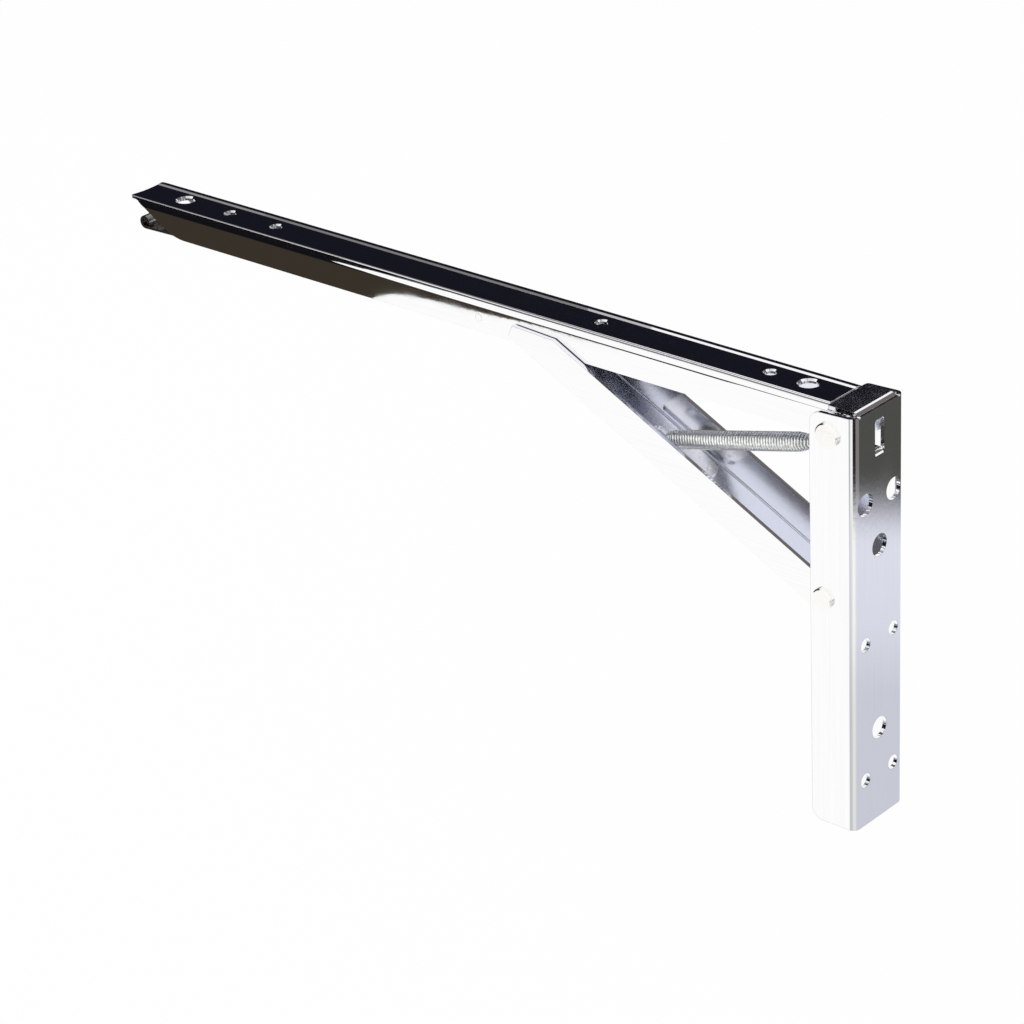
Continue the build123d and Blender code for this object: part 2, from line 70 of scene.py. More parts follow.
# %% Node helpers
def add(tree, kind, **settings):
    """Add a node of one kind and set its plain properties."""
    node = tree.nodes.new(kind)
    for name, value in settings.items():
        setattr(node, name, value)
    return node


def wire(tree, source, target):
    """Join an output socket to an input socket."""
    tree.links.new(source, target)


def calculate(tree, operation, first, second):
    """A Math node between two values, each of them a socket or a number."""
    node = add(tree, "ShaderNodeMath", operation=operation)
    for place, value in enumerate((first, second)):
        if isinstance(value, (int, float)):
            node.inputs[place].default_value = value
        else:
            wire(tree, value, node.inputs[place])
    return node.outputs[0]


def spread(tree, value, low, high, to_low, to_high):
    """Stretch a value from one range to another and clamp it."""
    node = add(tree, "ShaderNodeMapRange", clamp=True)
    wire(tree, value, node.inputs["Value"])
    for name, number in (("From Min", low), ("From Max", high),
                         ("To Min", to_low), ("To Max", to_high)):
        node.inputs[name].default_value = number
    return node.outputs["Result"]


def mixed(tree, factor, first, second, blend_type="MIX"):
    """Mix two colours, each of them a socket or three plain numbers."""
    node = add(tree, "ShaderNodeMix", data_type="RGBA", blend_type=blend_type)
    wire(tree, factor, node.inputs["Factor"])
    for name, colour in (("A", first), ("B", second)):
        if isinstance(colour, tuple):
            node.inputs[name].default_value = (*colour, 1.0)
        else:
            wire(tree, colour, node.inputs[name])
    return node.outputs["Result"]


print("node helpers: add, wire, calculate, spread, mixed")


# %% [markdown]
# ## Shared groups and stretched noise
#
# An effect that several finishes use is built once, as a shader group with named sockets.  Most of
# the effects on sheet metal begin with noise that is stretched along one axis, like the lines that
# a roller leaves, so a helper for that comes with the one that opens a group.

# %% Group helpers
def group_with(name, inputs, outputs):
    """An empty shader group with named sockets; inputs carry a first value."""
    group = bpy.data.node_groups.new(name, "ShaderNodeTree")
    for label, kind, value in inputs:
        socket = group.interface.new_socket(name=label, in_out="INPUT", socket_type=kind)
        if value is not None:
            socket.default_value = value
    for label, kind in outputs:
        group.interface.new_socket(name=label, in_out="OUTPUT", socket_type=kind)
    return group, add(group, "NodeGroupInput"), add(group, "NodeGroupOutput")


def stretched_noise(tree, vector, stretch, detail=3.0, roughness=0.55):
    """Noise whose grain is set by a scale for each axis, in cycles per metre."""
    scaled = add(tree, "ShaderNodeVectorMath", operation="MULTIPLY")
    wire(tree, vector, scaled.inputs[0])
    if isinstance(stretch, tuple):
        scaled.inputs[1].default_value = stretch
    else:
        wire(tree, stretch, scaled.inputs[1])
    noise = add(tree, "ShaderNodeTexNoise", noise_dimensions="3D")
    wire(tree, scaled.outputs[0], noise.inputs["Vector"])
    noise.inputs["Scale"].default_value = 1.0
    noise.inputs["Detail"].default_value = detail
    noise.inputs["Roughness"].default_value = roughness
    return noise.outputs["Fac"]


print("group helpers: group_with, stretched_noise")


# %% [markdown]
# ## Rolled and polished sheet
#
# Sheet steel leaves the mill with faint lines along its rolling direction, and polishing and plating
# soften them without removing them.  Under the lines lies a slow waviness, the orange peel that
# makes reflections swim a little.  Both could be painted, but stretched noise gives them for nothing
# at any size, so they become one shader group that every finish reuses.

# %% Group: rolled sheet
PEEL_SCALE = 520.0          # waves of orange peel in a metre
rolled_sheet, sheet_in, sheet_out = group_with(
    "rolled_sheet",
    [("Position", "NodeSocketVector", None),
     ("Grain", "NodeSocketVector", (20.0, 1500.0, 1500.0)),
     ("Line Height", "NodeSocketFloat", 0.3)],
    [("Height", "NodeSocketFloat"), ("Lines", "NodeSocketFloat"), ("Peel", "NodeSocketFloat")])
position = sheet_in.outputs["Position"]
lines = stretched_noise(rolled_sheet, position, sheet_in.outputs["Grain"])
peel = stretched_noise(rolled_sheet, position, (PEEL_SCALE,) * 3, detail=1.5)
raised = calculate(rolled_sheet, "MULTIPLY", lines, sheet_in.outputs["Line Height"])
height = calculate(rolled_sheet, "ADD", raised, peel)
for source, label in ((height, "Height"), (lines, "Lines"), (peel, "Peel")):
    wire(rolled_sheet, source, sheet_out.inputs[label])
print("group", rolled_sheet.name, "has", len(rolled_sheet.nodes), "nodes")


# %% [markdown]
# ## Edges
#
# Where sheet was cut, and where a corner rubs in its carton, the plating is thinner and the edge
# takes another tone.  A mask of the edges could be painted on the vertices, but a flat sheet has too
# few of them.  The Bevel node looks for nearby corners instead: where its rounded normal leans away
# from the true one there is an edge, and the dot product of the two turns that into a mask.

# %% Group: edge rub
RUB_RADIUS = 0.35 * MM
RUB_SAMPLES = 6
PATCH_SCALE = (420.0, 420.0, 420.0)     # the rub comes and goes along an edge
PATCH_BAND = (0.35, 0.65)               # the part of the noise that makes the patches
PATCH_FLOOR = 0.35                      # the weakest share of rub
edge_rub, rub_in, rub_out = group_with(
    "edge_rub",
    [("Position", "NodeSocketVector", None), ("Lowest Dot", "NodeSocketFloat", 0.93)],
    [("Mask", "NodeSocketFloat")])
bevel = add(edge_rub, "ShaderNodeBevel", samples=RUB_SAMPLES)
bevel.inputs["Radius"].default_value = RUB_RADIUS
true_normal = add(edge_rub, "ShaderNodeNewGeometry")
lean = add(edge_rub, "ShaderNodeVectorMath", operation="DOT_PRODUCT")
wire(edge_rub, bevel.outputs["Normal"], lean.inputs[0])
wire(edge_rub, true_normal.outputs["Normal"], lean.inputs[1])
patchy = stretched_noise(edge_rub, rub_in.outputs["Position"], PATCH_SCALE, detail=4.0)
leaning = calculate(edge_rub, "SUBTRACT", 1.0, lean.outputs["Value"])
most = calculate(edge_rub, "SUBTRACT", 1.0, rub_in.outputs["Lowest Dot"])
edge = calculate(edge_rub, "DIVIDE", leaning, most)
edge = calculate(edge_rub, "MULTIPLY", edge, spread(edge_rub, patchy, *PATCH_BAND, PATCH_FLOOR, 1.0))
wire(edge_rub, spread(edge_rub, edge, 0.0, 1.0, 0.0, 1.0), rub_out.inputs["Mask"])
print("group", edge_rub.name, "has", len(edge_rub.nodes), "nodes")


# %% [markdown]
# ## Handling
#
# A bracket that has been packed and unpacked carries a haze of finger marks and a few hairline
# scuffs.  They hardly change the colour of a mirror, only how sharp it is, so this group puts out
# two masks that will feed roughness: broad smudges, and fine scuffs that run across each other.

# %% Group: handling
SMUDGE_SCALE = (38.0, 52.0, 44.0)
SMUDGE_BAND = (0.48, 0.72)
SCUFF_SCALES = ((60.0, 2200.0, 700.0), (900.0, 260.0, 2400.0))
SCUFF_BAND = (0.66, 0.74)       # narrow and high, so that few thin streaks are left
handling, hand_in, hand_out = group_with(
    "handling",
    [("Position", "NodeSocketVector", None)],
    [("Smudge", "NodeSocketFloat"), ("Scuff", "NodeSocketFloat")])
smudge = stretched_noise(handling, hand_in.outputs["Position"], SMUDGE_SCALE, detail=4.0, roughness=0.6)
wire(handling, spread(handling, smudge, *SMUDGE_BAND, 0.0, 1.0), hand_out.inputs["Smudge"])
scuffs = []
for scale in SCUFF_SCALES:
    streak = stretched_noise(handling, hand_in.outputs["Position"], scale, detail=2.0)
    scuffs.append(spread(handling, streak, *SCUFF_BAND, 0.0, 1.0))
wire(handling, calculate(handling, "MAXIMUM", *scuffs), hand_out.inputs["Scuff"])
print("group", handling.name, "has", len(handling.nodes), "nodes")


# %% [markdown]
# ## The inside of a channel
#
# The inside of a folded channel lies in shade and sees little of the room, so a painted shade darkens
# its colour and tints it blue-grey, and its surface is made a little rougher.  Painting it would need a
# face-by-face choice. The pieces
# are symmetric about the middle plane, so the distance from that plane, and a height for the lid of
# the arm, tell inside from outside, in the piece's own coordinates.

# %% Inside mask
# painted shade: this blue-grey tone darkens the inside of each channel, where the room's light hardly
# reaches
INSIDE_SHADE_TONE = (0.86, 0.875, 0.94)
INSIDE_ROUGHNESS = 0.13
INSIDE_SEAM = 0.2 * MM      # half the width over which outside turns into inside


def below(tree, value, limit):
    """A mask that is 1 where a value lies under a limit."""
    return spread(tree, value, limit - INSIDE_SEAM, limit + INSIDE_SEAM, 1.0, 0.0)


def inside_mask(tree, outward, height, half_width, lid):
    """1 inside a channel of this half width, under its lid; both in millimetres."""
    return calculate(tree, "MULTIPLY", below(tree, outward, half_width * MM),
                     below(tree, height, lid * MM))


print("inside of a channel: tone", INSIDE_SHADE_TONE, "and extra roughness", INSIDE_ROUGHNESS)


# %% [markdown]
# ## The metals
#
# Every finish on the bracket is bare or plated metal, so one recipe serves: a Principled shader with
# Metallic at 1, whose colour drifts a little with the rolling lines, whose roughness takes the
# smudges and scuffs, and whose normal comes from a Bump node fed by the sheet's height.  What
# differs is how bright, how sharp and how coarse each one is.
#
# The arm has one thing more.  Its sheet swells a little just before the folds, and a mirror shows
# even a low swelling as a thin bright line, so its bump takes a ridge at that distance.

# %% Metal recipe
RIDGE = (5.2 * MM, 6.8 * MM)    # where the arm's sheet rises, out from its middle
RUB_ROUGHNESS = 0.06            # what a rubbed edge adds
LINE_BAND = (0.3, 0.6)          # the part of the rolling lines that turns the colour


def bare_metal(name):
    """A material with one metallic Principled shader, and its node tree."""
    material = bpy.data.materials.new(name)
    material.use_nodes = True
    tree = material.node_tree
    tree.nodes.clear()
    shader = add(tree, "ShaderNodeBsdfPrincipled")
    shader.inputs["Metallic"].default_value = 1.0
    result = add(tree, "ShaderNodeOutputMaterial")
    wire(tree, shader.outputs["BSDF"], result.inputs["Surface"])
    return material, tree, shader


def metal(name, bright, dull, rough, grain, line_height, bump, smudge=0.06, scuff=0.10,
          edge_colour=None, fold_ridge=0.0, inside=None):
    """A metal finish from the shared groups, each placed with this finish's own values."""
    material, tree, shader = bare_metal(name)
    place = add(tree, "ShaderNodeTexCoord").outputs["Object"]
    sheet = add(tree, "ShaderNodeGroup", node_tree=rolled_sheet)
    sheet.inputs["Grain"].default_value = grain
    sheet.inputs["Line Height"].default_value = line_height
    rub = add(tree, "ShaderNodeGroup", node_tree=edge_rub)
    hand = add(tree, "ShaderNodeGroup", node_tree=handling)
    for part in (sheet, rub, hand):
        wire(tree, place, part.inputs["Position"])
    axes = add(tree, "ShaderNodeSeparateXYZ")
    wire(tree, place, axes.inputs[0])
    outward = calculate(tree, "ABSOLUTE", axes.outputs["Y"], 0.0)

    colour = mixed(tree, spread(tree, sheet.outputs["Lines"], *LINE_BAND, 0.0, 1.0), dull, bright)
    soft = calculate(tree, "ADD", calculate(tree, "MULTIPLY", hand.outputs["Smudge"], smudge), rough)
    for mask, amount in ((hand.outputs["Scuff"], scuff), (rub.outputs["Mask"], RUB_ROUGHNESS)):
        soft = calculate(tree, "ADD", soft, calculate(tree, "MULTIPLY", mask, amount))
    # painted shade: inside the channel the blue-grey tone darkens the colour, and the roughness there
    # is raised as well
    if inside:
        within = inside_mask(tree, outward, axes.outputs["Z"], *inside)
        colour = mixed(tree, within, colour, INSIDE_SHADE_TONE, "MULTIPLY")
        soft = calculate(tree, "ADD", soft, calculate(tree, "MULTIPLY", within, INSIDE_ROUGHNESS))
    colour = mixed(tree, rub.outputs["Mask"], colour, edge_colour or bright)
    wire(tree, colour, shader.inputs["Base Color"])
    wire(tree, soft, shader.inputs["Roughness"])

    relief = sheet.outputs["Height"]
    if fold_ridge:
        ridge = spread(tree, outward, *RIDGE, 0.0, fold_ridge / bump)
        relief = calculate(tree, "ADD", relief, ridge)
    dents = add(tree, "ShaderNodeBump")
    dents.inputs["Strength"].default_value = 1.0
    dents.inputs["Distance"].default_value = bump * MM
    wire(tree, relief, dents.inputs["Height"])
    wire(tree, dents.outputs["Normal"], shader.inputs["Normal"])
    print("finish", name, "has", len(tree.nodes), "nodes")
    return material


# %% [markdown]
# ## The three channels
#
# The arm was rolled along its length, the leg along its height, and the brace along its own slope,
# which is close enough to the arm's for its faint lines.  The arm is the sharpest mirror of the
# three and the leg the softest.  The cut edges of leg and brace are grey.

# %% Finishes of the channels
GRAIN_ALONG_X = (18.0, 1700.0, 1700.0)
GRAIN_ALONG_Z = (1700.0, 1700.0, 18.0)
CUT_EDGE = (0.50, 0.50, 0.53)
arm_steel = metal("arm_steel", bright=(0.98, 0.98, 0.98), dull=(0.95, 0.95, 0.955),
                  rough=0.014, grain=GRAIN_ALONG_X, line_height=0.15, bump=0.0006,
                  smudge=0.016, scuff=0.016, fold_ridge=0.21, inside=(9.8, 78.2))
leg_steel = metal("leg_steel", bright=(0.98, 0.98, 0.985), dull=(0.95, 0.95, 0.96),
                  rough=0.05, grain=GRAIN_ALONG_Z, line_height=0.20, bump=0.004,
                  smudge=0.05, scuff=0.06, edge_colour=CUT_EDGE)
brace_steel = metal("brace_steel", bright=(0.98, 0.98, 0.985), dull=(0.95, 0.95, 0.96),
                    rough=0.03, grain=GRAIN_ALONG_X, line_height=0.12, bump=0.0012,
                    smudge=0.02, scuff=0.02, edge_colour=CUT_EDGE, inside=(11.6, 1000.0))


# %% [markdown]
# ## Lever, rivets, springs and plate
#
# The lever is darker, unpolished strip.  Rivets and spacers are turned parts in bright zinc, a
# little warmer than the sheet.  The spring wire is zinc with darker streaks, and the thin plate
# under the spring has a satin face.  Turned parts and wire have no rolling direction, so their grain
# is even on all axes.

# %% Finishes of the small parts
GRAIN_TURNED = (900.0, 900.0, 900.0)
lever_steel = metal("lever_steel", bright=(0.30, 0.29, 0.27), dull=(0.20, 0.19, 0.18),
                    rough=0.14, grain=GRAIN_ALONG_X, line_height=0.2, bump=0.004)
rivet_zinc = metal("rivet_zinc", bright=(1.0, 0.99, 0.955), dull=(0.97, 0.96, 0.92),
                   rough=0.18, grain=GRAIN_TURNED, line_height=0.35, bump=0.006)
spring_wire = metal("spring_wire", bright=(0.98, 0.99, 0.97), dull=(0.70, 0.73, 0.71),
                    rough=0.09, grain=GRAIN_TURNED, line_height=0.4, bump=0.008)
satin_plate = metal("satin_plate", bright=(0.99, 0.98, 1.0), dull=(0.95, 0.94, 0.97),
                    rough=0.22, grain=GRAIN_ALONG_X, line_height=0.4, bump=0.012)


# %% [markdown]
# ## Which finish goes where
#
# A finish could be dropped on each piece by hand in the editor.  A table does it at once, and shows
# at a glance which pieces belong together: the spring's hooks, all rivets, the sheet pieces.

# %% Finishes on the measured pieces
FINISH = {
    "wall_leg": leg_steel, "shelf_arm": arm_steel, "brace": brace_steel,
    "arm_pivot_rivet": rivet_zinc, "brace_rivet_near": rivet_zinc, "brace_rivet_far": rivet_zinc,
    "arm_spacer_near": rivet_zinc, "arm_spacer_far": rivet_zinc, "lever_pivot_pin": arm_steel,
    "spring_hook_wall": spring_wire, "spring_hook_brace": spring_wire,
    "spring_anchor_plate": satin_plate, "release_lever": lever_steel,
}
for name, finish in FINISH.items():
    mesh = nodes[name].data
    mesh.materials.clear()
    mesh.materials.append(finish)
print("finishes given to", len(FINISH), "measured pieces")


# %% [markdown]
# ## Wire
#
# Both springs are round wire bent along a path.  A curve with a bevel would make them too, but its
# caps and its twist are hard to steer, so a short function sweeps a ring of points along the path:
# at each step the ring is carried over from the last one by the smallest turn, which keeps the wire
# from twisting.

# %% Sweep a wire
def swept_wire(name, path, radius, sides=10):
    """A closed tube of one radius along a list of points, with flat ends."""
    points = [Vector(point) for point in path]
    last = len(points) - 1
    tangents = [(points[min(index + 1, last)] - points[max(index - 1, 0)]).normalized()
                for index in range(len(points))]
    across = tangents[0].orthogonal().normalized()
    verts, faces = [], []
    for index, point in enumerate(points):
        if index:
            across = tangents[index - 1].rotation_difference(tangents[index]) @ across
        across = (across - across.dot(tangents[index]) * tangents[index]).normalized()
        up = tangents[index].cross(across)
        for side in range(sides):
            turn = 2 * math.pi * side / sides
            verts.append(point + radius * (math.cos(turn) * across + math.sin(turn) * up))
    for index in range(last):
        for side in range(sides):
            after = (side + 1) % sides
            low, high = index * sides, (index + 1) * sides
            faces.append((low + side, low + after, high + after, high + side))
    faces.append(tuple(reversed(range(sides))))
    faces.append(tuple(range(len(verts) - sides, len(verts))))
    mesh = bpy.data.meshes.new(name)
    mesh.from_pydata([tuple(vert) for vert in verts], [], faces)
    mesh.validate()
    for face in mesh.polygons:
        face.use_smooth = len(face.vertices) == 4
    piece = bpy.data.objects.new(name, mesh)
    bpy.context.scene.collection.objects.link(piece)
    length = sum((b - a).length for a, b in zip(points, points[1:]))
    print(name, "wire length", round(length, 4), "m")
    return piece


# %% [markdown]
# ## The tension spring's path
#
# The real spring is wound tight from one piece of wire, and it narrows at both ends to hold the
# shanks of its two hooks.  The measured model only keeps a tapered tube for it, so the true winding
# is made here: a helix whose radius follows the two cones.

# %% Path of the tension spring
SLOPE = math.radians(14.4)
HOOK_CENTRE = Vector((13.2, 0.0, 61.35)) * MM
ALONG = Vector((math.cos(SLOPE), 0.0, -math.sin(SLOPE)))
SIDEWAYS = Vector((0.0, 1.0, 0.0))
UPWARD = ALONG.cross(SIDEWAYS)
WIRE = 0.55 * MM                            # radius of the wire
COIL_FROM, COIL_TO = 13.6 * MM, 80.63 * MM  # along the slope, from the upper hook
CONES = (6.8 * MM, 4.6 * MM)
WIDE, NARROW = 2.95 * MM, 0.80 * MM
TURNS = 54
STEPS_A_TURN = 22


def winding_radius(reach):
    """Radius of the wire's centre line at a distance from the upper hook."""
    opening = min((reach - COIL_FROM) / CONES[0], (COIL_TO - reach) / CONES[1], 1.0)
    return NARROW + (WIDE - NARROW) * math.sqrt(max(opening, 0.0))


helix = []
first, last = COIL_FROM + WIRE, COIL_TO - WIRE
for step in range(TURNS * STEPS_A_TURN + 1):
    share = step / (TURNS * STEPS_A_TURN)
    reach = first + (last - first) * share
    turn = 2 * math.pi * TURNS * share
    spoke = math.cos(turn) * SIDEWAYS + math.sin(turn) * UPWARD
    helix.append(HOOK_CENTRE + ALONG * reach + winding_radius(reach) * spoke)
print("tension spring:", TURNS, "turns in", round((COIL_TO - COIL_FROM) / MM, 1), "mm")


# %% [markdown]
# ## The tension spring's wire
#
# The upper end of the spring hangs on the leg and the lower end on the brace, and they part when the
# bracket folds.  Here the wire is wound once, where the spring hangs in the open bracket, and fixed in
# the scene; the tapered tube of the measured model is hidden.

# %% Wind the tension spring
winding = swept_wire("tension_spring_winding", helix, WIRE)
winding.data.materials.append(spring_wire)
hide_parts("spring_coil")
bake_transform(winding)


# %% [markdown]
# ## The lever's little spring
#
# Inside the arm a torsion spring sits round the lever's pin and holds the lever down.  Its wire is
# half a millimetre thick.  The measured model keeps a plain sleeve with two legs; here the same
# space holds a wound coil, one leg over the lever's strip and one up to the underside of the arm.

# %% Wind the lever spring
PIN = Vector((168.0, 0.0, 72.5)) * MM
FINE_WIRE = 0.25 * MM                   # radius of the wire
FINE_SIDES = 8
COIL_RADIUS = 1.95 * MM
COIL_HALF = 2.9 * MM                    # half the coil's width
COIL_TURNS = 10.5
COIL_STEPS = int(COIL_TURNS * 20)
# places of the two legs beside and over the pin, in millimetres
LOWER_LEG = ((8.5, -1.6), (6.5, -1.6), (4.5, -1.6), (2.6, -1.6), (1.0, -1.85))
UPPER_LEG = ((1.6, 1.95), (3.4, 1.95), (5.2, 1.95), (7.0, 1.95), (8.1, 1.95), (8.5, 2.4),
             (8.5, 4.75))
coil = []
for step in range(COIL_STEPS + 1):
    share = step / COIL_STEPS
    turn = -math.pi / 2 + 2 * math.pi * COIL_TURNS * share
    across = COIL_HALF * (1 - 2 * share)
    coil.append(PIN + Vector((COIL_RADIUS * math.cos(turn), across, COIL_RADIUS * math.sin(turn))))
lower_leg = [PIN + Vector((x * MM, COIL_HALF, z * MM)) for x, z in LOWER_LEG]
upper_leg = [PIN + Vector((x * MM, -COIL_HALF, z * MM)) for x, z in UPPER_LEG]
lever_spring = swept_wire("lever_spring_winding", lower_leg + coil + upper_leg, FINE_WIRE, FINE_SIDES)
lever_spring.data.materials.append(spring_wire)
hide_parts("lever_return_spring")
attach(lever_spring, "arm")


# %% [markdown]
# ## The floor
#
# A wall bracket hangs, so the floor lies a little below the reach of the folded arm.  It is a pale
# matt surface that glows white to the camera and to reflections, and keeps a part of its true
# shading, so that the soft shadow under the bracket stays.

# %% Floor
FLOOR_DROP = 0.30
SPAN = 4.0
FLOOR_TONE = (0.92, 0.92, 0.92, 1.0)
GLOW_SHARE = 0.88           # how much of the floor is glow to the camera; the rest is shading
floor_mesh = bpy.data.meshes.new("floor")
floor_mesh.from_pydata([(-SPAN, -SPAN, 0), (SPAN, -SPAN, 0), (SPAN, SPAN, 0), (-SPAN, SPAN, 0)],
                       [], [(0, 1, 2, 3)])
floor = bpy.data.objects.new("floor", floor_mesh)
floor.location = (0.0, 0.0, -FLOOR_DROP)
bpy.context.scene.collection.objects.link(floor)
floor_look = bpy.data.materials.new("pale_floor")
floor_look.use_nodes = True
tree = floor_look.node_tree
tree.nodes.clear()
matt = add(tree, "ShaderNodeBsdfDiffuse")
matt.inputs["Color"].default_value = FLOOR_TONE
glow = add(tree, "ShaderNodeEmission")
glow.inputs["Strength"].default_value = 1.0
rays = add(tree, "ShaderNodeLightPath")
seen = calculate(tree, "MULTIPLY", rays.outputs["Is Camera Ray"], GLOW_SHARE)
for kind in ("Is Glossy Ray", "Is Transmission Ray"):
    seen = calculate(tree, "MAXIMUM", seen, rays.outputs[kind])
pick = add(tree, "ShaderNodeMixShader")
wire(tree, seen, pick.inputs["Fac"])
wire(tree, matt.outputs["BSDF"], pick.inputs[1])
wire(tree, glow.outputs["Emission"], pick.inputs[2])
wire(tree, pick.outputs["Shader"], add(tree, "ShaderNodeOutputMaterial").inputs["Surface"])
floor_mesh.materials.append(floor_look)
print("floor", FLOOR_DROP, "m below the bracket's middle")


# %% [markdown]
# ## Reflection cards
#
# A mirror has no colour of its own: it looks black or white because of what stands around it.  A
# studio sets up cards for that, and this scene does the same.  Each card is a flat sheet of one tone
# that only reflections can see.  They are placed by the angle at which a face of the bracket throws
# the viewer's gaze: the level top of the arm looks at one, the flank at another.

# %% Card helpers
MIDDLE = (0.17, 0.0, 0.06)              # angles in the air are taken from here
CARD_LEVEL = -FLOOR_DROP + 0.002        # a card on the floor lies just above it


def card(name, corners, tone, faces=None):
    """A flat sheet of one tone, seen only by reflections."""
    mesh = bpy.data.meshes.new(name)
    mesh.from_pydata(corners, [], faces or [tuple(range(len(corners)))])
    sheet = bpy.data.objects.new(name, mesh)
    bpy.context.scene.collection.objects.link(sheet)
    look = bpy.data.materials.new(name)
    look.use_nodes = True
    look.node_tree.nodes.clear()
    glow = add(look.node_tree, "ShaderNodeEmission")
    glow.inputs["Color"].default_value = (*tone, 1.0)
    output = add(look.node_tree, "ShaderNodeOutputMaterial")
    wire(look.node_tree, glow.outputs["Emission"], output.inputs["Surface"])
    mesh.materials.append(look)
    for kind in ("camera", "diffuse", "transmission", "volume_scatter", "shadow"):
        setattr(sheet, "visible_" + kind, False)
    return sheet


def sky_point(bearing, rise, distance):
    """A point in the air, by its bearing and height angle from the middle of the bracket."""
    angle, climb = math.radians(bearing), math.radians(rise)
    return (MIDDLE[0] + distance * math.cos(climb) * math.cos(angle),
            MIDDLE[1] + distance * math.cos(climb) * math.sin(angle),
            MIDDLE[2] + distance * math.sin(climb))


def sky_card(name, bearing, low, high, half_width, distance, tone):
    """A card in the air, from one height angle to another, square to the bracket."""
    corners = ((-1, low), (1, low), (1, high), (-1, high))
    points = [sky_point(bearing + side * half_width, rise, distance) for side, rise in corners]
    return card(name, points, tone)


def floor_card(name, corners, tone):
    """A card lying just above the floor."""
    return card(name, [(x, y, CARD_LEVEL) for x, y in corners], tone)


print("card helpers: card, sky_point, sky_card, floor_card")


# %% [markdown]
# ## What the top of the arm sees
#
# The level top of the arm looks at a dark blue flag low in the sky, and so it is nearly black.  The
# swelling before its folds looks higher, at a grey and white sky above the flag.  A gaze that dips
# meets the floor before the flag, so the floor behind the bracket has a dark card too.

# %% Cards for the arm's top
NAVY = (0.008, 0.008, 0.014)
FLAG_CORNERS = ((-76.0, -20.0), (-16.0, -20.0), (-16.0, 22.0), (-76.0, 27.5))
FLAG_DISTANCE = 2.2
BACK_FLAG = ((0.30, -0.42), (0.42, -0.95), (1.7, -1.4), (1.3, -0.38))
# bearing, half width and tone of each piece of sky
FAR_SKY = ((-24.0, 12.0, 0.27), (-40.3, 4.3, 0.20), (-45.5, 0.9, 0.50), (-62.0, 15.6, 0.95))
FAR_SKY_RISE = (18.0, 52.0)
FAR_SKY_DISTANCE = 2.3
card("top_flag", [sky_point(bearing, rise, FLAG_DISTANCE) for bearing, rise in FLAG_CORNERS], NAVY)
floor_card("back_floor_flag", BACK_FLAG, NAVY)
for number, (bearing, half_width, level) in enumerate(FAR_SKY):
    sky_card(f"far_sky_{number}", bearing, *FAR_SKY_RISE, half_width, FAR_SKY_DISTANCE,
             (level, level, level * 1.02))
print("cards for the arm's top:", 2 + len(FAR_SKY))


# %% [markdown]
# ## What the flank of the arm sees
#
# The near side of the arm stands upright and looks down at the floor beside the bracket.  Its outer
# half sees a brown card there, whose slanting border gives the long dark wedge on the flank.

# %% Card for the arm's flank
BROWN = (0.040, 0.032, 0.024)
WEDGE = ((0.87, 0.50), (0.838, 0.644), (0.834, 0.651), (0.825, 0.655), (0.809, 0.6575),
         (0.770, 0.6605), (0.7545, 0.6615), (0.739, 0.664), (0.66, 0.667), (0.70, 0.85),
         (0.74, 1.0), (1.40, 2.2), (3.6, 2.2), (3.6, 0.50))
floor_card("flank_flag", WEDGE, BROWN)
print("flank card has", len(WEDGE), "corners")


# %% [markdown]
# ## What the near fold of the arm sees
#
# A fold turns from the top to the side within three millimetres, and shows the whole quarter circle
# between them as thin lines.  A dark opening beyond the free end makes the dark one, and the shape
# of its rim says where along the arm each line begins.  Grey bars overhead give the soft lines
# above it.

# %% Cards for the near fold
BLACK = (0.006, 0.006, 0.008)
OPENING_X = 1.6
FOLD_LINE = (0.01, 0.0764)      # sideways and up, where the near fold runs
RIM = ((-20.0, 1.78), (-12.0, 1.76), (-4.0, 1.66), (10.0, 1.60), (30.0, 1.56), (46.0, 1.60),
       (60.0, 1.64), (75.0, 1.74), (110.0, 1.80))      # turn about the fold, and reach
opening = [(OPENING_X, -0.4, CARD_LEVEL)]
for turn, reach in RIM:
    opening.append((OPENING_X, FOLD_LINE[0] + reach * math.cos(math.radians(turn)),
                    max(FOLD_LINE[1] + reach * math.sin(math.radians(turn)), CARD_LEVEL)))
card("end_opening", opening, BLACK)

BAR_HEIGHT = 1.5
BAR_SIDES = (-0.42, 0.33)
BARS = ((-0.6, 1.2, 0.22), (1.2, 1.27, 0.15), (1.27, 1.33, 0.09), (1.33, 1.40, 0.05),
        (1.40, 1.6, 0.006))      # start, end and tone
for number, (start, end, level) in enumerate(BARS):
    near, far = BAR_SIDES
    corners = [(start, near, BAR_HEIGHT), (end, near, BAR_HEIGHT),
               (end, far, BAR_HEIGHT), (start, far, BAR_HEIGHT)]
    card(f"top_bar_{number}", corners, (level, level, level * 1.04))
print("opening with", len(opening), "corners and", len(BARS), "bars")


# %% [markdown]
# ## What the leg sees
#
# The wall side of the leg and its rounded corners look down at a ring round the leg.  Near by it is
# pale; farther out it has olive, brown and black sectors.  Hard borders between separate cards would
# show as steps, so the ring is one fine grid with a tone painted on each of its points, and the
# tones run together.

# %% Tones of the ring
OLIVE = (0.072, 0.072, 0.066)
UMBER, DEEP_UMBER = (0.21, 0.19, 0.19), (0.20, 0.18, 0.18)
SOOT = (0.012, 0.012, 0.014)
CHALK, CREAM, ASH = (0.95,) * 3, (0.85,) * 3, (0.80,) * 3
SMOKE = (0.68, 0.69, 0.72)
SLATE, DEEP_SLATE = (0.45, 0.45, 0.47), (0.42, 0.42, 0.44)
PALE_FAR, PALE_MID, PALE_NEAR = (0.725, 0.74, 0.835), (0.70, 0.71, 0.80), (0.585, 0.60, 0.67)
